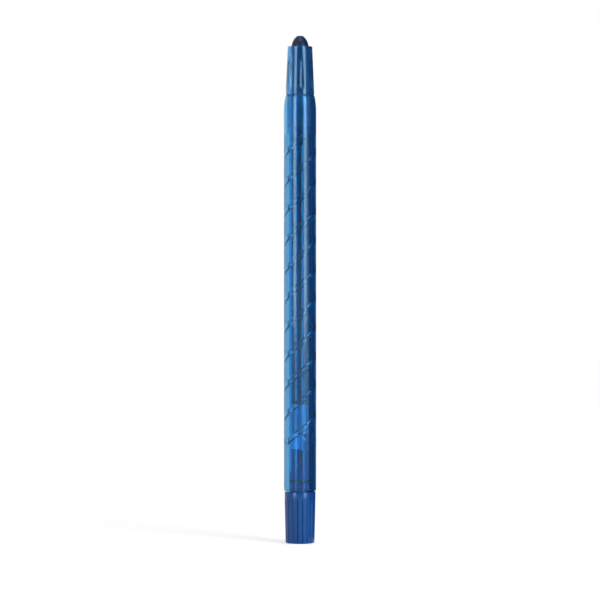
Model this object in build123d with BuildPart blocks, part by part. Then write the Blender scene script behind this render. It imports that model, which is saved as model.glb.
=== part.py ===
from build123d import *

import os
from math import atan2, ceil, cos, radians, sin, sqrt, tan

# A twist crayon stands on its knob with the wax tip up. Z is its axis and z = 0 is the foot of the knob.
# The knob turns a slotted sleeve inside the barrel. The sleeve turns the carrier that holds the wax, and
# the carrier's two lugs run in a two-start groove in the barrel's bore, so the wax winds out of the nose.
# All lengths are in millimetres, and all angles in degrees.

# Lengths along the axis
knob_length = 16.0
barrel_length = 122.25
nose_length = 15.2
tip_exposed = 3.3
retract_travel = 4.0

# Wax stick
wax_diameter = 5.3
tip_length = 3.4
tip_flat_diameter = 1.8
tip_bulge = 0.45
tip_edge_radius = 0.4

# Walls and steps that build the diameters up from the wax
sleeve_wall = 0.5
groove_depth = 0.5
barrel_wall = 1.1
rim_wall = 0.5
mouth_wall = 1.0
nose_step = 0.08
knob_step = 0.2

# Clearances
wax_clearance = 0.15
running_clearance = 0.1
press_clearance = 0.02
lug_clearance = 0.15
slot_clearance = 0.2
axial_play = 0.1
knob_gap = 0.25
carrier_gap = 0.75
seal_clearance = 0.02

# Screw groove in the barrel
groove_lead = 18.0
groove_starts = 2
socket_depth = 12.0
socket_step = 0.1

# Barrel ends
shoulder_length = 5.0
ring_chamfer = 0.25
rear_chamfer = 0.3
rear_lead_in = 0.3

# Nose
mouth_chamfer = 0.22
mouth_lead_in = 0.12
guide_length = 5.0
nose_relief = 0.3
relief_taper = 0.5
spigot_lead_in = 0.3
flute_count = 8
flute_start_angle = 8.0
flute_radius = 1.4
flute_depth = 0.22
flute_mouth_margin = 2.6
flute_base_margin = 2.0

# Drive sleeve
slot_angle = -65.0
front_ring_length = 3.0
collar_length = 2.0
collar_chamfer = 0.15

# Carrier
lug_diameter = 1.1
lug_height = 2.0
cup_floor = 3.2
cup_depth = 5.8
cup_wall = 0.5
carrier_chamfer = 0.2

# Knob
foot_chamfer = 0.6
knob_taper = 0.3
knob_band = 2.2
knob_edge_chamfer = 0.25
grip_count = 18
grip_depth = 0.32
grip_angle = 90.0
neck_length = 6.0
stem_length = 7.0
stem_chamfer = 0.3

# Drag ring
ring_section = 1.0
ring_chamfer_size = 0.25
ring_height = 3.0
ring_slack = 0.1

# Radii, from the wax outwards
wax_radius = wax_diameter / 2
guide_radius = wax_radius + wax_clearance
sleeve_radius = guide_radius + sleeve_wall
bore_radius = sleeve_radius + running_clearance
groove_radius = bore_radius + groove_depth
socket_radius = groove_radius + socket_step
barrel_radius = groove_radius + barrel_wall
rim_radius = socket_radius + rim_wall
nose_base_radius = rim_radius - nose_step
mouth_radius = guide_radius + mouth_wall
spigot_radius = socket_radius - press_clearance
collar_radius = socket_radius - running_clearance
knob_radius = barrel_radius - knob_step
cup_radius = wax_radius - cup_wall
lug_radius = lug_diameter / 2
lug_reach = groove_radius - lug_clearance
slot_width = lug_diameter + 2 * slot_clearance
groove_width = lug_diameter + 2 * lug_clearance

# Heights, from the foot upwards
barrel_rear = knob_length + knob_gap
ring_line = barrel_rear + barrel_length
mouth = ring_line + nose_length
tip = mouth + tip_exposed
bore_step = ring_line - socket_depth
collar_rear = bore_step + axial_play
collar_front = collar_rear + collar_length
spigot_end = collar_front + axial_play
neck_top = barrel_rear + neck_length
stem_top = neck_top + stem_length
carrier_rear = stem_top + carrier_gap + retract_travel
lug_level = carrier_rear + lug_height
cup_bottom = carrier_rear + cup_floor
cup_rim = cup_bottom + cup_depth
slot_top = bore_step - front_ring_length
ring_level = barrel_rear + ring_height

# The direction that the slots and lugs face
slot_direction = (cos(radians(slot_angle)), sin(radians(slot_angle)), 0)

os.makedirs("parts", exist_ok=True)

# Flute cutter: a round-ended rod on the +X side of the nose. It leans in less than the cone does, so the flute
# is deepest at its round lower end and fades to a point below the mouth
with BuildPart() as flute_cutter:
    nose_slope = (nose_base_radius - mouth_radius) / nose_length
    flute_round = sqrt(flute_radius**2 - (flute_radius - flute_depth) ** 2)
    flute_rise = flute_base_margin + flute_round
    flute_length = nose_length - flute_rise - flute_mouth_margin
    flute_lean = atan2(nose_slope * flute_length - flute_depth, flute_length)
    rod_radius = nose_base_radius - nose_slope * flute_rise - flute_depth + flute_radius
    rod_end = Plane((rod_radius, 0, ring_line + flute_rise), z_dir=(-sin(flute_lean), 0, cos(flute_lean)))
    with Locations(rod_end):
        Sphere(flute_radius)
        Cylinder(flute_radius, nose_length, align=(Align.CENTER, Align.CENTER, Align.MIN))

# Nose cone: a tapered shell that guides the wax at its mouth and widens behind it, with a plain spigot that is
# pressed into the barrel
with BuildPart() as nose_cone:
    with BuildSketch(Plane.XZ):
        with BuildLine():
            Polyline(
                (guide_radius, mouth),
                (mouth_radius, mouth),
                (nose_base_radius, ring_line),
                (spigot_radius, ring_line),
                (spigot_radius, spigot_end),
                (guide_radius + nose_relief, spigot_end),
                (guide_radius + nose_relief, mouth - guide_length - relief_taper),
                (guide_radius, mouth - guide_length),
                close=True,
            )
        make_face()
    revolve(axis=Axis.Z)
    mouth_edges = nose_cone.edges().filter_by(GeomType.CIRCLE).group_by(Axis.Z)[-1].sort_by(SortBy.RADIUS)
    spigot_edge = nose_cone.edges().filter_by(GeomType.CIRCLE).group_by(Axis.Z)[0].sort_by(SortBy.RADIUS)[-1]
    base_edge = nose_cone.edges().filter_by_position(Axis.Z, ring_line, ring_line).sort_by(SortBy.RADIUS)[-1]
    chamfer(mouth_edges[-1], mouth_chamfer)
    chamfer(mouth_edges[0], mouth_lead_in)
    chamfer(spigot_edge, spigot_lead_in)
    chamfer(base_edge, ring_chamfer)

    with PolarLocations(0, flute_count, start_angle=flute_start_angle):
        add(flute_cutter.part, mode=Mode.SUBTRACT)
nose_cone.part.label = "nose_cone"
export_step(nose_cone.part, "parts/nose_cone.step")

# Groove cutter: half a turn of the groove, which the barrel's bore repeats from end to end
with BuildPart() as groove_cutter:
    with BuildLine() as half_turn:
        Helix(groove_lead, groove_lead / 2, bore_radius)
    with BuildSketch(Plane(half_turn.line @ 0, x_dir=(1, 0, 0), z_dir=half_turn.line % 0)):
        Rectangle(4 * groove_depth, groove_width)
    sweep(is_frenet=True)
    Cylinder(groove_radius, 2 * groove_lead, mode=Mode.INTERSECT)

# Barrel: a straight tube with a rounded shoulder, a socket for the nose and a two-start groove in its bore
with BuildPart() as barrel:
    shoulder_rear = ring_line - shoulder_length
    with BuildSketch(Plane.XZ):
        with BuildLine():
            Polyline(
                (rim_radius, ring_line),
                (socket_radius, ring_line),
                (socket_radius, bore_step),
                (bore_radius, bore_step),
                (bore_radius, barrel_rear),
                (barrel_radius, barrel_rear),
                (barrel_radius, shoulder_rear),
            )
            TangentArc((barrel_radius, shoulder_rear), (rim_radius, ring_line), tangent=(0, 1))
        make_face()
    revolve(axis=Axis.Z)
    rim_edge = barrel.edges().filter_by(GeomType.CIRCLE).group_by(Axis.Z)[-1].sort_by(SortBy.RADIUS)[-1]
    rear_edges = barrel.edges().filter_by(GeomType.CIRCLE).group_by(Axis.Z)[0].sort_by(SortBy.RADIUS)
    chamfer(rim_edge, ring_chamfer)
    chamfer(rear_edges[0], rear_lead_in)
    chamfer(rear_edges[-1], rear_chamfer)

    # The grooves start below the lowest place of the lugs and run out through the step at the front
    groove_start = lug_level - retract_travel - groove_width
    groove_turn = 360 * (groove_start - lug_level) / groove_lead
    half_turns = ceil((bore_step + groove_width - groove_start) / (groove_lead / 2))
    for step in range(half_turns):
        with Locations((0, 0, groove_start + step * groove_lead / 2)):
            with PolarLocations(0, groove_starts, start_angle=slot_angle + groove_turn + 180 * step):
                add(groove_cutter.part, clean=False, mode=Mode.SUBTRACT)
barrel.part.label = "barrel"
export_step(barrel.part, "parts/barrel.step")

# Drive sleeve: a thin tube with a collar at the front and two long slots that are open at the rear
with BuildPart() as drive_sleeve:
    with BuildSketch(Plane.XZ):
        with BuildLine():
            Polyline(
                (guide_radius, neck_top),
                (sleeve_radius, neck_top),
                (sleeve_radius, collar_rear),
                (collar_radius, collar_rear),
                (collar_radius, collar_front),
                (guide_radius, collar_front),
                close=True,
            )
        make_face()
    revolve(axis=Axis.Z)
    collar_edge = drive_sleeve.edges().filter_by(GeomType.CIRCLE).group_by(Axis.Z)[-1].sort_by(SortBy.RADIUS)[-1]
    chamfer(collar_edge, collar_chamfer)

    slot_straight = slot_top - slot_width / 2 - neck_top
    with BuildSketch(Plane((0, 0, neck_top), x_dir=(0, 0, 1), z_dir=slot_direction)):
        Rectangle(slot_straight, slot_width, align=(Align.MIN, Align.CENTER))
        with Locations((slot_straight, 0)):
            Circle(slot_width / 2)
    extrude(amount=collar_radius, both=True, mode=Mode.SUBTRACT)
drive_sleeve.part.label = "drive_sleeve"
export_step(drive_sleeve.part, "parts/drive_sleeve.step")

# Wax carrier: a cup with a pin through its base, whose two ends are the lugs
with BuildPart() as wax_carrier:
    with BuildSketch(Plane.XZ):
        with BuildLine():
            Polyline(
                (0, carrier_rear),
                (wax_radius, carrier_rear),
                (wax_radius, cup_rim),
                (cup_radius, cup_rim),
                (cup_radius, cup_bottom),
                (0, cup_bottom),
                close=True,
            )
        make_face()
    revolve(axis=Axis.Z)
    carrier_edge = wax_carrier.edges().filter_by(GeomType.CIRCLE).group_by(Axis.Z)[0]
    chamfer(carrier_edge, carrier_chamfer)

    with BuildSketch(Plane((0, 0, lug_level), x_dir=(0, 0, 1), z_dir=slot_direction)):
        Circle(lug_radius)
    extrude(amount=lug_reach, both=True)
wax_carrier.part.label = "wax_carrier"
export_step(wax_carrier.part, "parts/wax_carrier.step")

# Wax stick: a round stick with a thinner root in the carrier's cup and a blunt, slightly domed point
with BuildPart() as wax_stick:
    root_radius = cup_radius - press_clearance
    with BuildSketch(Plane.XZ):
        with BuildLine():
            Polyline(
                (0, tip),
                (0, cup_bottom),
                (root_radius, cup_bottom),
                (root_radius, cup_rim),
                (wax_radius, cup_rim),
                (wax_radius, tip - tip_length),
            )
            SagittaArc((wax_radius, tip - tip_length), (tip_flat_diameter / 2, tip), -tip_bulge)
            Line((tip_flat_diameter / 2, tip), (0, tip))
        make_face()
    revolve(axis=Axis.Z)
    tip_edge = wax_stick.edges().filter_by(GeomType.CIRCLE).group_by(Axis.Z)[-1]
    fillet(tip_edge, tip_edge_radius)
wax_stick.part.label = "wax_stick"
export_step(wax_stick.part, "parts/wax_stick.step")

# Drag ring: a square rubber ring with broken corners that rubs on the bore
with BuildPart() as drag_ring:
    ring_centre_radius = bore_radius - seal_clearance - ring_section / 2
    with BuildSketch(Plane.XZ) as ring_profile:
        with Locations((ring_centre_radius, ring_level)):
            Rectangle(ring_section, ring_section)
        chamfer(ring_profile.vertices(), ring_chamfer_size)
    revolve(axis=Axis.Z)
drag_ring.part.label = "drag_ring"
export_step(drag_ring.part, "parts/drag_ring.step")

# Grip cutter: a V-shaped groove on the +X side of the knob that follows its taper up to the plain band
with BuildPart() as grip_cutter:
    grip_length = knob_length - knob_band
    grip_lean = atan2(knob_taper, grip_length)
    grip_top = (knob_radius - grip_depth, 0, grip_length)
    with BuildSketch(Plane(grip_top, x_dir=(0, 1, 0), z_dir=(-sin(grip_lean), 0, -cos(grip_lean)))):
        with BuildLine():
            grip_half_width = 2 * grip_depth * tan(radians(grip_angle / 2))
            Polyline(
                (0, 0),
                (grip_half_width, 2 * grip_depth),
                (-grip_half_width, 2 * grip_depth),
                close=True,
            )
        make_face()
    extrude(amount=2 * grip_length)

# Twist knob: a ribbed grip on a flat foot, with a neck for the drag ring and a keyed stem for the sleeve
with BuildPart() as twist_knob:
    neck_radius = sleeve_radius
    stem_radius = guide_radius - press_clearance
    seat_radius = ring_centre_radius - ring_section / 2 - press_clearance
    seat_half_width = ring_section / 2 + ring_slack
    with BuildSketch(Plane.XZ):
        with BuildLine():
            Polyline(
                (0, 0),
                (knob_radius - knob_taper, 0),
                (knob_radius, knob_length - knob_band),
                (knob_radius, knob_length),
                (neck_radius, knob_length),
                (neck_radius, ring_level - seat_half_width),
                (seat_radius, ring_level - seat_half_width),
                (seat_radius, ring_level + seat_half_width),
                (neck_radius, ring_level + seat_half_width),
                (neck_radius, neck_top),
                (stem_radius, neck_top),
                (stem_radius, stem_top),
                (0, stem_top),
                close=True,
            )
        make_face()
    revolve(axis=Axis.Z)
    foot_edge = twist_knob.edges().filter_by(GeomType.CIRCLE).group_by(Axis.Z)[0]
    stem_edge = twist_knob.edges().filter_by(GeomType.CIRCLE).group_by(Axis.Z)[-1]
    band_edge = twist_knob.edges().filter_by_position(Axis.Z, knob_length, knob_length).sort_by(SortBy.RADIUS)[-1]
    chamfer(foot_edge, foot_chamfer)
    chamfer(band_edge, knob_edge_chamfer)
    chamfer(stem_edge, stem_chamfer)

    # Two keys fill the open ends of the sleeve's slots
    with BuildSketch(Plane.XY.offset(neck_top)):
        Circle(sleeve_radius)
        Rectangle(
            2 * sleeve_radius,
            slot_width - 2 * press_clearance,
            rotation=slot_angle,
            mode=Mode.INTERSECT,
        )
    extrude(amount=stem_length - stem_chamfer)

    with PolarLocations(0, grip_count):
        add(grip_cutter.part, mode=Mode.SUBTRACT)
twist_knob.part.label = "twist_knob"
export_step(twist_knob.part, "parts/twist_knob.step")
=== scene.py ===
from math import ceil, cos, floor, pi, radians, sin, sqrt, tan

import bmesh
import bpy
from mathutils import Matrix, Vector, noise


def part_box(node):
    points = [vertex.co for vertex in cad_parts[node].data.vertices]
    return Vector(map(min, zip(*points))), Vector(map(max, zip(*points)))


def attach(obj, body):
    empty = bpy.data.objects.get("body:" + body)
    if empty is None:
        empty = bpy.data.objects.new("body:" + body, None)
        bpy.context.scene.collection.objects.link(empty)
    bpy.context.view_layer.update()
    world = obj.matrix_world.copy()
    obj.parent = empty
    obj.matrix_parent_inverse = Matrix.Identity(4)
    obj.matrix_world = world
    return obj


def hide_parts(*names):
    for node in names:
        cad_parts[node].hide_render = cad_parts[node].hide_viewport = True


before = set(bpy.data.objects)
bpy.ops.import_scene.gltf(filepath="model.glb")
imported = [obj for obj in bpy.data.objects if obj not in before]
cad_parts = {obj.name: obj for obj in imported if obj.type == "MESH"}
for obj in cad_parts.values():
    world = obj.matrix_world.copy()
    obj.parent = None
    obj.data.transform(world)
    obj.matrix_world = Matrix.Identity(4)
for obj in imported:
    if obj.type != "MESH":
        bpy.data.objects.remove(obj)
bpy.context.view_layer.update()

# A twist crayon that stands on its knob with the wax tip up. Every piece is turned again from the sizes
# of its CAD node, with finer facets and softened edges. Lengths are in metres and angles in radians.
MM = 0.001
TURN = 2 * pi


def span(node):
    """The radius of a turned CAD node and the heights of its two ends."""
    low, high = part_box(node)
    return high.x, low.z, high.z


# Sizes that the frame gives
barrel_radius, barrel_rear, ring_line = span("barrel")
collar_radius, neck_top, collar_front = span("drive_sleeve")
wax_radius, cup_bottom, tip = span("wax_stick")
knob_radius, foot, stem_top = span("twist_knob")
seal_radius, seal_bottom, seal_top = span("drag_ring")
carrier_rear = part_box("wax_carrier")[0].z
cup_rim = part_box("wax_carrier")[1].z
spigot_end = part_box("nose_cone")[0].z
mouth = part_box("nose_cone")[1].z

# Walls, steps and clearances
sleeve_wall = 0.5 * MM
groove_depth = 0.5 * MM
socket_step = 0.1 * MM
rim_wall = 0.5 * MM
nose_step = 0.08 * MM
mouth_wall = 1.0 * MM
cup_wall = 0.5 * MM
wax_clearance = 0.15 * MM
running_clearance = 0.1 * MM
press_clearance = 0.02 * MM
lug_clearance = 0.15 * MM
seam_gap = 0.03 * MM

# Radii inside the nodes, built up from the wax
guide_radius = wax_radius + wax_clearance
sleeve_radius = guide_radius + sleeve_wall
bore_radius = sleeve_radius + running_clearance
groove_radius = bore_radius + groove_depth
socket_radius = groove_radius + socket_step
spigot_radius = socket_radius - press_clearance
rim_radius = socket_radius + rim_wall
nose_base_radius = rim_radius - nose_step
mouth_radius = guide_radius + mouth_wall
cup_radius = wax_radius - cup_wall

# Barrel
barrel_sides = 128
shoulder_length = 5.0 * MM
shoulder_steps = 12
socket_depth = 12.0 * MM
bore_step = ring_line - socket_depth
bore_lead_in = 0.3 * MM
rear_edge = 0.25 * MM
ring_chamfer = 0.25 * MM
ring_edge = 0.08 * MM

# Slots in the sleeve and the lugs that pass through them
slot_angle = radians(-65)
slot_direction = Vector((cos(slot_angle), sin(slot_angle), 0))
slot_side = Vector((-sin(slot_angle), cos(slot_angle), 0))
slot_width = 1.5 * MM
slot_end_steps = 24
front_ring_length = 3.0 * MM
slot_top = bore_step - front_ring_length
lug_height = 2.0 * MM
lug_level = carrier_rear + lug_height
lug_radius = 0.55 * MM
lug_sides = 32
lug_reach = groove_radius - lug_clearance

# Screw groove in the bore, with half its width measured along the axis
retract_travel = 4.0 * MM
groove_lead = 18.0 * MM
groove_starts = 2
groove_pitch = groove_lead / groove_starts
groove_width = 1.4 * MM
groove_half = 0.89 * MM
groove_edge = 0.4 * MM
groove_start = lug_level - retract_travel - groove_width
groove_run_in = 0.6 * MM

# Decimal places to which the heights of the bore's corners are matched
height_digits = 8

# Nose
nose_sides = 320
nose_row = 0.12 * MM
guide_length = 5.0 * MM
nose_relief = 0.3 * MM
relief_taper = 0.5 * MM
spigot_edge = 0.25 * MM
mouth_outer_edge = 0.2 * MM
mouth_inner_edge = 0.1 * MM
flute_count = 8
flute_start = radians(8)
flute_radius = 1.4 * MM
flute_depth = 0.22 * MM
flute_base_margin = 2.0 * MM
flute_mouth_margin = 2.6 * MM
flute_bottom = ring_line + flute_base_margin
flute_top = mouth - flute_mouth_margin
flute_softness = 0.05 * MM

# Wax
wax_sides = 96
wax_row = 1.5 * MM
wax_rear_edge = 0.1 * MM
root_radius = cup_radius - press_clearance
tip_length = 3.4 * MM
tip_flat_radius = 0.9 * MM
tip_bulge = 0.45 * MM
tip_edge = 0.45 * MM
tip_steps = 14
dent_depth = 0.03 * MM
dent_size = 0.9 * MM
small_dent_size = 0.35 * MM
small_dent_share = 0.5
stick_dent_share = 0.25

# Knob
knob_sides = 360
knob_gap = 0.25 * MM
knob_top = barrel_rear - knob_gap
band_length = 2.2 * MM
knob_band = knob_top - band_length
knob_taper = 0.3 * MM
foot_edge = 0.6 * MM
knob_edge = 0.25 * MM
grip_count = 18
grip_depth = 0.32 * MM
grip_end = 0.35 * MM
grip_softness = 0.06 * MM
stem_radius = guide_radius - press_clearance
stem_edge = 0.3 * MM
key_width = slot_width - 2 * press_clearance
key_top = stem_top - stem_edge

# Drag ring and its seat on the knob
seal_section = 1.0 * MM
seal_edge = 0.25 * MM
seat_radius = seal_radius - seal_section - press_clearance
seat_slack = 0.1 * MM

# Sleeve and carrier
tube_sides = 128
collar_length = 2.0 * MM
collar_edge = 0.15 * MM
carrier_edge = 0.2 * MM

# Finish: where an edge stays sharp, the range of a noise pattern that is used, and the plastic's IOR
sharp_angle = radians(35)
pattern_low = 0.3
pattern_high = 0.7
plastic_refraction = 1.49


def clamp(value, low=0.0, high=1.0):
    """The value, held between two limits."""
    return min(max(value, low), high)


def ease(value):
    """A smooth step from 0 to 1."""
    share = clamp(value)
    return share * share * (3 - 2 * share)


def soft_min(first, second, softness):
    """The lesser of two lengths, rounded off where they cross."""
    share = clamp(0.5 + (second - first) / (2 * softness))
    return second + (first - second) * share - softness * share * (1 - share)


def rounded(corners, steps=5):
    """The outline through (radius, height, fillet) corners, with an arc of its fillet radius at each."""
    points = []
    for before, here, after in zip(corners[-1:] + corners, corners, corners[1:] + corners[:1]):
        corner, fillet = Vector(here[:2]), here[2]
        if not fillet:
            points.append(corner)
            continue
        back = (Vector(before[:2]) - corner).normalized()
        ahead = (Vector(after[:2]) - corner).normalized()
        half = back.angle(ahead) / 2
        centre = corner + (back + ahead).normalized() * fillet / sin(half)
        first = corner + back * fillet / tan(half) - centre
        last = corner + ahead * fillet / tan(half) - centre
        points += [centre + fillet * first.slerp(last, step / steps) for step in range(steps + 1)]
    return points


def divided(outline, row, least_radius, least_height):
    """The outline with points added beyond a radius and a height, so that they are at most a row apart."""
    points = [outline[0]]
    for start, end in zip(outline, outline[1:]):
        inside = min(start.x, end.x) < least_radius or min(start.y, end.y) < least_height
        parts = 1 if inside else ceil((end - start).length / row)
        points += [start.lerp(end, part / parts) for part in range(1, parts + 1)]
    return points


def bridge(mesh, lower, upper):
    """A band of faces between two rings. A ring of one repeated vertex makes triangles."""
    next_lower = lower[1:] + lower[:1]
    next_upper = upper[1:] + upper[:1]
    for corners in zip(lower, next_lower, next_upper, upper):
        mesh.faces.new(tuple(dict.fromkeys(corners)))


def spin(mesh, outline, sides, carve=None, closed=False):
    """The outline turned about Z. carve gives the radius from an angle and the outline's point."""
    rings = []
    for radius, height in outline:
        if radius == 0:
            rings.append([mesh.verts.new((0, 0, height))] * sides)
            continue
        ring = []
        for side in range(sides):
            angle = TURN * side / sides
            reach = carve(angle, radius, height) if carve else radius
            ring.append(mesh.verts.new((reach * cos(angle), reach * sin(angle), height)))
        rings.append(ring)
    for lower, upper in zip(rings, rings[1:] + rings[:1] if closed else rings[1:]):
        bridge(mesh, lower, upper)
    return rings


def prism(outline, reach):
    """A block through the axis along the slots' direction, from an outline of (sideways, height) points."""
    mesh = bmesh.new()
    ends = []
    for along in (-reach, reach):
        end = slot_direction * along
        points = [slot_side * side + end + Vector((0, 0, height)) for side, height in outline]
        ends.append([mesh.verts.new(point) for point in points])
    bridge(mesh, *ends)
    for end in ends:
        mesh.faces.new(end)
    return mesh


def place(name, mesh):
    """An object in the scene that holds the mesh, with its faces turned outwards."""
    bmesh.ops.recalc_face_normals(mesh, faces=mesh.faces)
    data = bpy.data.meshes.new(name)
    mesh.to_mesh(data)
    mesh.free()
    item = bpy.data.objects.new(name, data)
    bpy.context.scene.collection.objects.link(item)
    return item


def combined(first, second, operation):
    """One mesh from two, the second cut from the first or joined to it."""
    parts = [place("target", first), place("tool", second)]
    change = parts[0].modifiers.new("change", "BOOLEAN")
    change.operation = operation
    change.object = parts[1]
    graph = bpy.context.evaluated_depsgraph_get()
    result = bmesh.new()
    result.from_object(parts[0], graph)
    for part in parts:
        bpy.data.meshes.remove(part.data)
    return result


def dress(name, mesh, body, node, material):
    """The finished piece, smooth but for sharp edges, which rides on its body in place of a CAD node."""
    item = place(name, mesh)
    item.data.shade_smooth()
    item.data.set_sharp_from_angle(angle=sharp_angle)
    item.data.materials.append(material)
    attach(item, body)
    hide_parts(node)


def groove_reach(angle, height):
    """The bore's radius, with the two-start groove in it."""
    along = height - lug_level - groove_lead * (angle - slot_angle) / TURN
    offset = abs((along + groove_pitch / 2) % groove_pitch - groove_pitch / 2)
    depth = groove_depth * clamp(0.5 + (groove_half - offset) / groove_edge)
    return bore_radius + depth * ease((height - groove_start) / groove_run_in)


def bore_wall(mesh, rear_ring, front_ring, rear, front):
    """The grooved wall of the bore, in rows that run along the groove, and the step at its front end."""
    sides = len(rear_ring)
    known = {(side, rear): corner for side, corner in enumerate(rear_ring)}

    def corner(row, side):
        height = clamp(round(row + groove_lead * side / sides, height_digits), rear, front)
        key = (side % sides, height)
        if key not in known:
            angle = TURN * key[0] / sides
            reach = groove_reach(angle, height)
            known[key] = mesh.verts.new((reach * cos(angle), reach * sin(angle), height))
        return known[key]

    wall, land = groove_half - groove_edge / 2, groove_half + groove_edge / 2
    plain = (land + groove_pitch / 2) / 2
    stations = (-plain, -land, -wall, 0, wall, land, plain, groove_pitch / 2)
    base = lug_level - groove_lead * slot_angle / TURN
    first = floor((rear - groove_lead - base) / groove_pitch) - 1
    last = ceil((front - base) / groove_pitch) + 1
    rows = [base + turn * groove_pitch + station for turn in range(first, last) for station in stations]
    for lower, upper in zip(rows, rows[1:]):
        for side in range(sides):
            spots = (lower, side), (lower, side + 1), (upper, side + 1), (upper, side)
            face = tuple(dict.fromkeys(corner(*spot) for spot in spots))
            if len(face) > 2:
                mesh.faces.new(face)
    bridge(mesh, [known[side, front] for side in range(sides)], front_ring)


def barrel_mesh():
    """The tube with its rounded shoulder, its socket for the nose and the grooved bore."""
    shoulder_rear = ring_line - shoulder_length
    drop = barrel_radius - rim_radius
    curve = (shoulder_length**2 + drop**2) / (2 * drop)
    rise = [(shoulder_length - ring_chamfer) * step / shoulder_steps for step in range(shoulder_steps + 1)]
    shoulder = [(barrel_radius - curve + sqrt(curve**2 - up**2), shoulder_rear + up, 0) for up in rise]
    bore_rear = barrel_rear + bore_lead_in
    outline = rounded(
        [
            (bore_radius, bore_rear, 0),
            (bore_radius + bore_lead_in, barrel_rear, 0),
            (barrel_radius, barrel_rear, rear_edge),
            *shoulder[:-1],
            (*shoulder[-1][:2], ring_edge),
            (rim_radius - ring_chamfer, ring_line, ring_edge),
            (socket_radius, ring_line, 0),
            (socket_radius, bore_step, 0),
        ]
    )
    mesh = bmesh.new()
    rings = spin(mesh, outline, barrel_sides)
    rear, front = round(bore_rear, height_digits), round(bore_step, height_digits)
    bore_wall(mesh, rings[0], rings[-1], rear, front)
    return mesh


def flute_reach(angle, radius, height):
    """The nose's radius, with its flutes.

    Each is the cut of a round-ended rod that rises out of the wall towards the mouth.
    """
    if radius < spigot_radius + seam_gap and height < mouth - guide_length:
        return radius
    pitch = TURN / flute_count
    turn = (angle - flute_start + pitch / 2) % pitch - pitch / 2
    slope = (nose_base_radius - mouth_radius) / (mouth - ring_line)
    rod_end = flute_bottom + sqrt(flute_radius**2 - (flute_radius - flute_depth) ** 2)
    lean = slope - flute_depth / (flute_top - rod_end)
    end_radius = nose_base_radius - slope * (rod_end - ring_line) - flute_depth + flute_radius
    rod_radius = end_radius - lean * max(height - rod_end, 0)
    below = max(rod_end - height, 0)
    room = flute_radius**2 - below**2 - (rod_radius * sin(turn)) ** 2
    if room < 0:
        return radius
    return soft_min(radius, rod_radius * cos(turn) - sqrt(room), flute_softness)


def nose_mesh():
    """The fluted cone with its spigot behind it."""
    relief_radius = guide_radius + nose_relief
    outline = rounded(
        [
            (relief_radius, spigot_end, 0),
            (spigot_radius, spigot_end, spigot_edge),
            (spigot_radius, ring_line + seam_gap, 0),
            (nose_base_radius - ring_chamfer, ring_line + seam_gap, ring_edge),
            (nose_base_radius, ring_line + ring_chamfer, ring_edge),
            (mouth_radius, mouth, mouth_outer_edge),
            (guide_radius, mouth, mouth_inner_edge),
            (guide_radius, mouth - guide_length, 0),
            (relief_radius, mouth - guide_length - relief_taper, 0),
        ]
    )
    mesh = bmesh.new()
    rows = divided(outline, nose_row, relief_radius, ring_line)
    spin(mesh, rows, nose_sides, flute_reach, closed=True)
    return mesh


def wax_reach(angle, radius, height):
    """The stick's radius, a little uneven as cast wax is, and most of all at the tip."""
    spot = Vector((radius * cos(angle), radius * sin(angle), height))
    uneven = noise.noise(spot / dent_size) + small_dent_share * noise.noise(spot / small_dent_size)
    share = stick_dent_share + (1 - stick_dent_share) * ease((height - mouth) / (tip - mouth))
    return radius - dent_depth * share * (1 + uneven) / 2


def wax_mesh():
    """The stick with its thinner root and its blunt, domed point."""
    start = Vector((wax_radius, tip - tip_length))
    end = Vector((tip_flat_radius, tip))
    outward = -(end - start).orthogonal().normalized()
    shares = [step / tip_steps for step in range(tip_steps)]
    bulge = [start.lerp(end, share) + outward * tip_bulge * 4 * share * (1 - share) for share in shares]
    outline = rounded(
        [
            (0, cup_bottom, 0),
            (root_radius, cup_bottom, 0),
            (root_radius, cup_rim, 0),
            (wax_radius, cup_rim, wax_rear_edge),
            *[(point.x, point.y, 0) for point in bulge],
            (end.x, end.y, tip_edge),
            (0, tip, 0),
        ]
    )
    mesh = bmesh.new()
    spin(mesh, divided(outline, wax_row, root_radius, cup_rim), wax_sides, wax_reach)
    return mesh


def flank_radius(height):
    """The radius of the knob's tapered flank, between its foot and its band."""
    return knob_radius - knob_taper * (knob_band - height) / knob_band


def grip_reach(angle, radius, height):
    """The knob's radius, with its V grooves below the band and the two keys on its stem."""
    if height > neck_top:
        across = radius * abs((angle - slot_angle + pi / 2) % pi - pi / 2)
        keyed = across < key_width / 2 and height < key_top - seam_gap
        return sleeve_radius if keyed else radius
    if height > knob_band:
        return radius
    pitch = TURN / grip_count
    across = radius * abs((angle + pitch / 2) % pitch - pitch / 2)
    cut_radius = soft_min(radius, flank_radius(height) - grip_depth + across, grip_softness)
    return radius + (cut_radius - radius) * ease((knob_band - height) / grip_end)


def knob_mesh():
    """The ribbed knob with its neck, the seat of the drag ring and the keyed stem."""
    grip_rows = [knob_band - grip_end, knob_band - grip_end / 2]
    outline = rounded(
        [
            (0, foot, 0),
            (knob_radius - knob_taper, foot, foot_edge),
            *[(flank_radius(height), height, 0) for height in grip_rows],
            (knob_radius, knob_band, 0),
            (knob_radius, knob_top, knob_edge),
            (sleeve_radius, knob_top, 0),
            (sleeve_radius, seal_bottom - seat_slack, 0),
            (seat_radius, seal_bottom - seat_slack, 0),
            (seat_radius, seal_top + seat_slack, 0),
            (sleeve_radius, seal_top + seat_slack, 0),
            (sleeve_radius, neck_top, 0),
            (stem_radius, neck_top + seam_gap, 0),
            (stem_radius, key_top - 2 * seam_gap, 0),
            (stem_radius, key_top, 0),
            (stem_radius, stem_top, stem_edge / 2),
            (0, stem_top, 0),
        ]
    )
    mesh = bmesh.new()
    spin(mesh, outline, knob_sides, grip_reach)
    return mesh


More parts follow.
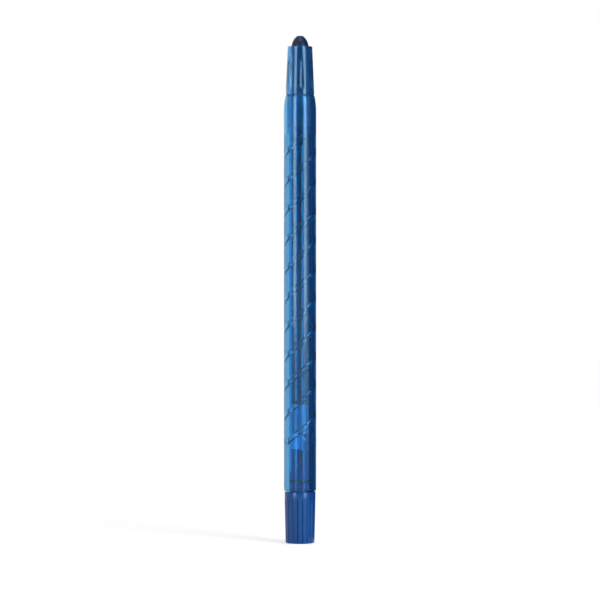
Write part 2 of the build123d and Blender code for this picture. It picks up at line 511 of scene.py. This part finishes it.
def sleeve_mesh():
    """The thin tube with its collar and its two long slots."""
    rear = neck_top + seam_gap
    collar_rear = collar_front - collar_length
    outline = rounded(
        [
            (guide_radius, rear, 0),
            (sleeve_radius, rear, 0),
            (sleeve_radius, collar_rear, 0),
            (collar_radius, collar_rear, 0),
            (collar_radius, collar_front, collar_edge),
            (guide_radius, collar_front, 0),
        ]
    )
    tube = bmesh.new()
    spin(tube, outline, tube_sides, closed=True)
    half = slot_width / 2
    open_end = neck_top - slot_width
    turns = [pi * step / slot_end_steps for step in range(slot_end_steps + 1)]
    round_end = [(half * cos(turn), slot_top - half + half * sin(turn)) for turn in turns]
    slot = prism([(-half, open_end), (half, open_end), *round_end], 2 * collar_radius)
    return combined(tube, slot, "DIFFERENCE")


def carrier_mesh():
    """The cup that holds the wax, with the pin through it whose ends are the lugs."""
    outline = rounded(
        [
            (0, carrier_rear, 0),
            (wax_radius, carrier_rear, carrier_edge),
            (wax_radius, cup_rim, 0),
            (cup_radius, cup_rim, 0),
            (cup_radius, cup_bottom, 0),
            (0, cup_bottom, 0),
        ]
    )
    cup = bmesh.new()
    spin(cup, outline, wax_sides)
    turns = [TURN * step / lug_sides for step in range(lug_sides)]
    pin = prism([(lug_radius * cos(turn), lug_level + lug_radius * sin(turn)) for turn in turns], lug_reach)
    return combined(cup, pin, "UNION")


def seal_mesh():
    """The square rubber ring with rounded corners."""
    inner = seal_radius - seal_section
    corners = [(inner, seal_bottom), (seal_radius, seal_bottom), (seal_radius, seal_top), (inner, seal_top)]
    mesh = bmesh.new()
    spin(mesh, rounded([(*corner, seal_edge) for corner in corners]), tube_sides, closed=True)
    return mesh


def shader_of(name, constants):
    """A new material and its shader, with constant values on the shader's own sockets."""
    material = bpy.data.materials.new(name)
    material.use_nodes = True
    shader = material.node_tree.nodes["Principled BSDF"]
    for socket, value in constants.items():
        shader.inputs[socket].default_value = value
    return material, shader


def grain(material, scale, stretch=(1, 1, 1), detail=3.0):
    """Noise in the piece's own coordinates, of scale cycles to the metre, times stretch along each axis."""
    tree = material.node_tree
    spot = tree.nodes.new("ShaderNodeTexCoord")
    mapping = tree.nodes.new("ShaderNodeMapping")
    texture = tree.nodes.new("ShaderNodeTexNoise")
    mapping.inputs["Scale"].default_value = [scale * factor for factor in stretch]
    texture.inputs["Scale"].default_value = 1.0
    texture.inputs["Detail"].default_value = detail
    tree.links.new(spot.outputs["Object"], mapping.inputs["Vector"])
    tree.links.new(mapping.outputs["Vector"], texture.inputs["Vector"])
    return texture.outputs["Fac"]


def tint(material, shader, pattern, low, high):
    """The pattern as a blend of two base colours."""
    tree = material.node_tree
    ramp = tree.nodes.new("ShaderNodeValToRGB")
    for stop, position, colour in zip(ramp.color_ramp.elements, (pattern_low, pattern_high), (low, high)):
        stop.position = position
        stop.color = (*colour, 1)
    tree.links.new(pattern, ramp.inputs["Fac"])
    tree.links.new(ramp.outputs["Color"], shader.inputs["Base Color"])


def vary(material, shader, pattern, low, high):
    """The pattern as a range of roughness."""
    tree = material.node_tree
    spread = tree.nodes.new("ShaderNodeMapRange")
    spread.inputs["From Min"].default_value = pattern_low
    spread.inputs["From Max"].default_value = pattern_high
    spread.inputs["To Min"].default_value = low
    spread.inputs["To Max"].default_value = high
    tree.links.new(pattern, spread.inputs["Value"])
    tree.links.new(spread.outputs["Result"], shader.inputs["Roughness"])


def emboss(material, shader, layers):
    """Bumps from (pattern, height) layers, one on top of another."""
    tree = material.node_tree
    below = None
    for pattern, height in layers:
        bump = tree.nodes.new("ShaderNodeBump")
        bump.inputs["Strength"].default_value = 1.0
        bump.inputs["Distance"].default_value = height
        tree.links.new(pattern, bump.inputs["Height"])
        if below:
            tree.links.new(below, bump.inputs["Normal"])
        below = bump.outputs["Normal"]
    tree.links.new(below, shader.inputs["Normal"])


def deepen(material, colour, density):
    """A tint that grows with the depth of plastic that the light goes through."""
    tree = material.node_tree
    body = tree.nodes.new("ShaderNodeVolumeAbsorption")
    body.inputs["Color"].default_value = (*colour, 1)
    body.inputs["Density"].default_value = density
    tree.links.new(body.outputs["Volume"], tree.nodes["Material Output"].inputs["Volume"])


def pale_below(material, level, colour):
    """Another base colour below a height, where the wall is thinner and so its tint paler."""
    tree = material.node_tree
    base = tree.nodes["Principled BSDF"].inputs["Base Color"]
    spot = tree.nodes.new("ShaderNodeTexCoord")
    axes = tree.nodes.new("ShaderNodeSeparateXYZ")
    above = tree.nodes.new("ShaderNodeMath")
    mixed = tree.nodes.new("ShaderNodeMixRGB")
    above.operation = "GREATER_THAN"
    above.inputs[1].default_value = level
    mixed.inputs["Color1"].default_value = (*colour, 1)
    tree.links.new(spot.outputs["Object"], axes.inputs["Vector"])
    tree.links.new(axes.outputs["Z"], above.inputs[0])
    tree.links.new(above.outputs["Value"], mixed.inputs["Fac"])
    tree.links.new(base.links[0].from_socket, mixed.inputs["Color2"])
    tree.links.new(mixed.outputs["Color"], base)


def clear_blue(name, clarity, refraction, gloss_tint, low, high):
    """Tinted see-through plastic with faint flow streaks along the axis and handling scuffs."""
    constants = {"Transmission Weight": clarity, "IOR": refraction, "Specular Tint": (*gloss_tint, 1)}
    material, shader = shader_of(name, constants)
    streaks = grain(material, 260, stretch=(1, 1, 0.06))
    smears = grain(material, 900, stretch=(1, 1, 0.3))
    flow = grain(material, 220, stretch=(1, 1, 0.3))
    scuffs = grain(material, 3000)
    deepen(material, colour=(0.3, 0.55, 0.72), density=310)
    tint(material, shader, streaks, low, high)
    vary(material, shader, smears, low=0.07, high=0.16)
    emboss(material, shader, [(flow, 0.012 * MM), (scuffs, 0.001 * MM)])
    return material


def barrel_blue():
    """The barrel's plastic."""
    return clear_blue(
        "barrel_blue",
        clarity=0.97,
        refraction=plastic_refraction,
        gloss_tint=(0.5, 0.76, 1),
        low=(0.13, 0.58, 0.95),
        high=(0.18, 0.65, 0.99),
    )


def nose_blue():
    """The nose's plastic, denser than the barrel's but for its thin spigot."""
    material = clear_blue(
        "nose_blue",
        clarity=0.95,
        refraction=1.59,
        gloss_tint=(0.4, 0.71, 1),
        low=(0.11, 0.49, 0.95),
        high=(0.15, 0.56, 0.99),
    )
    pale_below(material, ring_line, colour=(0.6, 0.84, 0.98))
    return material


def sleeve_blue():
    """Pale, clear plastic."""
    constants = {
        "Transmission Weight": 0.99,
        "IOR": plastic_refraction,
        "Specular Tint": (0.38, 0.68, 1, 1),
    }
    material, shader = shader_of("sleeve_blue", constants)
    streaks = grain(material, 300, stretch=(1, 1, 0.1))
    smears = grain(material, 500)
    waves = grain(material, 600)
    tint(material, shader, streaks, low=(0.62, 0.78, 0.92), high=(0.72, 0.86, 0.97))
    vary(material, shader, smears, low=0.06, high=0.14)
    emboss(material, shader, [(waves, 0.002 * MM)])
    return material


def carrier_white():
    """Satin moulded plastic."""
    material, shader = shader_of("carrier_white", {"IOR": plastic_refraction})
    clouds = grain(material, 600)
    smears = grain(material, 1800)
    pores = grain(material, 2500)
    tint(material, shader, clouds, low=(0.62, 0.66, 0.72), high=(0.74, 0.78, 0.83))
    vary(material, shader, smears, low=0.35, high=0.5)
    emboss(material, shader, [(pores, 0.003 * MM)])
    return material


def navy_wax():
    """Cast wax with a soft sheen, cloudy patches and small scuffs."""
    constants = {
        "IOR": 1.45,
        "Subsurface Weight": 0.15,
        "Subsurface Radius": (0.5, 0.7, 1.0),
        "Subsurface Scale": 0.8 * MM,
        "Specular IOR Level": 0.25,
    }
    material, shader = shader_of("navy_wax", constants)
    clouds = grain(material, 700, detail=6.0)
    smears = grain(material, 1600, detail=5.0)
    ripples = grain(material, 900)
    scuffs = grain(material, 4000, detail=6.0)
    tint(material, shader, clouds, low=(0.003, 0.013, 0.045), high=(0.007, 0.026, 0.08))
    vary(material, shader, smears, low=0.22, high=0.42)
    emboss(material, shader, [(ripples, 0.02 * MM), (scuffs, 0.008 * MM)])
    return material


def knob_blue():
    """Glossy solid plastic with a fine moulded grain."""
    constants = {"IOR": plastic_refraction, "Specular Tint": (0.5, 0.76, 1, 1)}
    material, shader = shader_of("knob_blue", constants)
    streaks = grain(material, 300, stretch=(1, 1, 0.3))
    smears = grain(material, 1500)
    pores = grain(material, 3000)
    tint(material, shader, streaks, low=(0.004, 0.05, 0.22), high=(0.008, 0.072, 0.28))
    vary(material, shader, smears, low=0.12, high=0.2)
    emboss(material, shader, [(pores, 0.001 * MM)])
    return material


def black_rubber():
    """Matte rubber."""
    material, shader = shader_of("black_rubber", {"IOR": 1.5})
    clouds = grain(material, 1500)
    smears = grain(material, 2500)
    pores = grain(material, 5000)
    tint(material, shader, clouds, low=(0.015, 0.015, 0.017), high=(0.03, 0.03, 0.032))
    vary(material, shader, smears, low=0.6, high=0.8)
    emboss(material, shader, [(pores, 0.004 * MM)])
    return material


def share_of_rays(tree, *kinds):
    """One for rays of the given kinds, and zero for others."""
    path = tree.nodes.new("ShaderNodeLightPath")
    share = path.outputs[kinds[0]]
    for kind in kinds[1:]:
        either = tree.nodes.new("ShaderNodeMath")
        either.operation = "MAXIMUM"
        tree.links.new(share, either.inputs[0])
        tree.links.new(path.outputs[kind], either.inputs[1])
        share = either.outputs["Value"]
    return share


def make_world(light, room, room_core, room_edge):
    """A white background, with soft light from all around.

    Gloss and clear plastic also show a dim room in front, which fades out between two angles.
    """
    world = bpy.data.worlds.new("studio")
    world.use_nodes = True
    tree = world.node_tree
    spot = tree.nodes.new("ShaderNodeTexCoord")
    facing = tree.nodes.new("ShaderNodeVectorMath")
    opening = tree.nodes.new("ShaderNodeMapRange")
    mirrored = tree.nodes.new("ShaderNodeMix")
    shown = tree.nodes.new("ShaderNodeMix")
    facing.operation = "DOT_PRODUCT"
    facing.inputs[1].default_value = (0, -1, 0)
    opening.interpolation_type = "SMOOTHSTEP"
    opening.inputs["From Min"].default_value = cos(room_edge)
    opening.inputs["From Max"].default_value = cos(room_core)
    opening.inputs["To Min"].default_value = 1.0
    opening.inputs["To Max"].default_value = room
    mirrored.inputs["A"].default_value = light
    shown.inputs["B"].default_value = 1.0
    tree.links.new(spot.outputs["Generated"], facing.inputs[0])
    tree.links.new(facing.outputs["Value"], opening.inputs["Value"])
    tree.links.new(share_of_rays(tree, "Is Glossy Ray", "Is Transmission Ray"), mirrored.inputs["Factor"])
    tree.links.new(opening.outputs["Result"], mirrored.inputs["B"])
    tree.links.new(share_of_rays(tree, "Is Camera Ray"), shown.inputs["Factor"])
    tree.links.new(mirrored.outputs["Result"], shown.inputs["A"])
    tree.links.new(shown.outputs["Result"], tree.nodes["Background"].inputs["Strength"])
    tree.nodes["Background"].inputs["Color"].default_value = (1, 1, 1, 1)
    bpy.context.scene.world = world


def make_floor(side, near_lift, far_lift, fade_start, fade_end):
    """A white floor that keeps the shadow, lifted to the background's white for rays that show it.

    The lamps brighten it near the crayon, so the lift grows with the distance from there.
    """
    mesh = bmesh.new()
    bmesh.ops.create_grid(mesh, x_segments=1, y_segments=1, size=side / 2)
    ground = place("floor", mesh)
    constants = {
        "Base Color": (0.9, 0.9, 0.9, 1),
        "Specular IOR Level": 0.0,
        "Emission Color": (1, 1, 1, 1),
    }
    material, shader = shader_of("floor_white", constants)
    tree = material.node_tree
    spot = tree.nodes.new("ShaderNodeTexCoord")
    reach = tree.nodes.new("ShaderNodeVectorMath")
    lift = tree.nodes.new("ShaderNodeMapRange")
    raised = tree.nodes.new("ShaderNodeMath")
    reach.operation = "LENGTH"
    lift.interpolation_type = "SMOOTHSTEP"
    lift.inputs["From Min"].default_value = fade_start
    lift.inputs["From Max"].default_value = fade_end
    lift.inputs["To Min"].default_value = near_lift
    lift.inputs["To Max"].default_value = far_lift
    raised.operation = "MULTIPLY"
    kinds = ("Is Camera Ray", "Is Glossy Ray", "Is Transmission Ray")
    tree.links.new(spot.outputs["Object"], reach.inputs[0])
    tree.links.new(reach.outputs["Value"], lift.inputs["Value"])
    tree.links.new(share_of_rays(tree, *kinds), raised.inputs[0])
    tree.links.new(lift.outputs["Result"], raised.inputs[1])
    tree.links.new(raised.outputs["Value"], shader.inputs["Emission Strength"])
    ground.data.materials.append(material)


def make_softbox(name, azimuth, elevation, width, height, radiance, lights, distance=0.6):
    """A lamp that faces the crayon's middle, at angles to the right of the camera and above the level.

    One that doesn't light the surfaces is only mirrored in the gloss.
    """
    data = bpy.data.lights.new(name, "AREA")
    data.shape = "RECTANGLE"
    data.size = width
    data.size_y = height
    data.energy = radiance * pi * width * height
    back = Vector((sin(azimuth) * cos(elevation), -cos(azimuth) * cos(elevation), sin(elevation)))
    lamp = bpy.data.objects.new(name, data)
    lamp.location = Vector((0, 0, tip / 2)) + distance * back
    lamp.rotation_mode = "QUATERNION"
    lamp.rotation_quaternion = back.to_track_quat("Z", "Y")
    lamp.visible_camera = False
    lamp.visible_diffuse = lights
    bpy.context.scene.collection.objects.link(lamp)


def make_flag(name, corner, turn, width, height, seen_through):
    """A dark panel that stands upright from a corner, its width turned from +X. Only the gloss shows it.

    One that is seen through also shows in the clear plastic.
    """
    mesh = bmesh.new()
    corners = [(width * side, 0, height * end) for side, end in ((0, 0), (1, 0), (1, 1), (0, 1))]
    mesh.faces.new([mesh.verts.new(point) for point in corners])
    flag = place(name, mesh)
    flag.location = (*corner, 0)
    flag.rotation_euler = (0, 0, turn)
    constants = {"Base Color": (0.01, 0.03, 0.14, 1), "Specular IOR Level": 0.0}
    flag.data.materials.append(shader_of(name, constants)[0])
    flag.visible_camera = False
    flag.visible_diffuse = False
    flag.visible_shadow = False
    flag.visible_transmission = seen_through


def make_camera():
    """A long lens at the photo's level view, with the crayon's ends on the photo's own pixel rows."""
    picture_side = 600
    tip_row = 36
    foot_row = 543
    view_height = (tip - foot) * picture_side / (foot_row - tip_row)
    level = foot + view_height * (foot_row - picture_side / 2) / picture_side
    data = bpy.data.cameras.new("camera")
    data.lens = 180
    data.sensor_width = 36
    data.clip_start = 0.01
    camera = bpy.data.objects.new("camera", data)
    camera.location = (0, -view_height * data.lens / data.sensor_width, level)
    camera.rotation_euler = (pi / 2, 0, 0)
    bpy.context.scene.collection.objects.link(camera)
    bpy.context.scene.camera = camera


dress("barrel_tube", barrel_mesh(), "barrel", "barrel", barrel_blue())
dress("nose_shell", nose_mesh(), "barrel", "nose_cone", nose_blue())
dress("sleeve_tube", sleeve_mesh(), "drive", "drive_sleeve", sleeve_blue())
dress("carrier_cup", carrier_mesh(), "carrier", "wax_carrier", carrier_white())
dress("crayon_wax", wax_mesh(), "carrier", "wax_stick", navy_wax())
dress("ribbed_knob", knob_mesh(), "drive", "twist_knob", knob_blue())
dress("rubber_ring", seal_mesh(), "drive", "drag_ring", black_rubber())

make_world(light=0.55, room=0.12, room_core=radians(35), room_edge=radians(65))
make_floor(side=6.0, near_lift=0.42, far_lift=0.51, fade_start=0.05, fade_end=0.45)
make_softbox(
    "left_softbox",
    azimuth=radians(-39),
    elevation=radians(12),
    width=0.23,
    height=0.4,
    radiance=6.8,
    lights=False,
)
make_softbox(
    "right_softbox",
    azimuth=radians(38.5),
    elevation=radians(12),
    width=0.24,
    height=0.4,
    radiance=7.6,
    lights=True,
)
make_softbox(
    "top_softbox",
    azimuth=radians(10),
    elevation=radians(70),
    width=0.3,
    height=0.3,
    radiance=4.0,
    lights=False,
)
make_flag(
    "rear_flag",
    corner=(0.5 * MM, 15 * MM),
    turn=radians(-12),
    width=0.07,
    height=0.18,
    seen_through=True,
)
make_flag(
    "side_flag",
    corner=(12 * MM, -8.5 * MM),
    turn=radians(90),
    width=0.03,
    height=0.18,
    seen_through=False,
)
make_camera()
bpy.context.scene.view_settings.view_transform = "Standard"
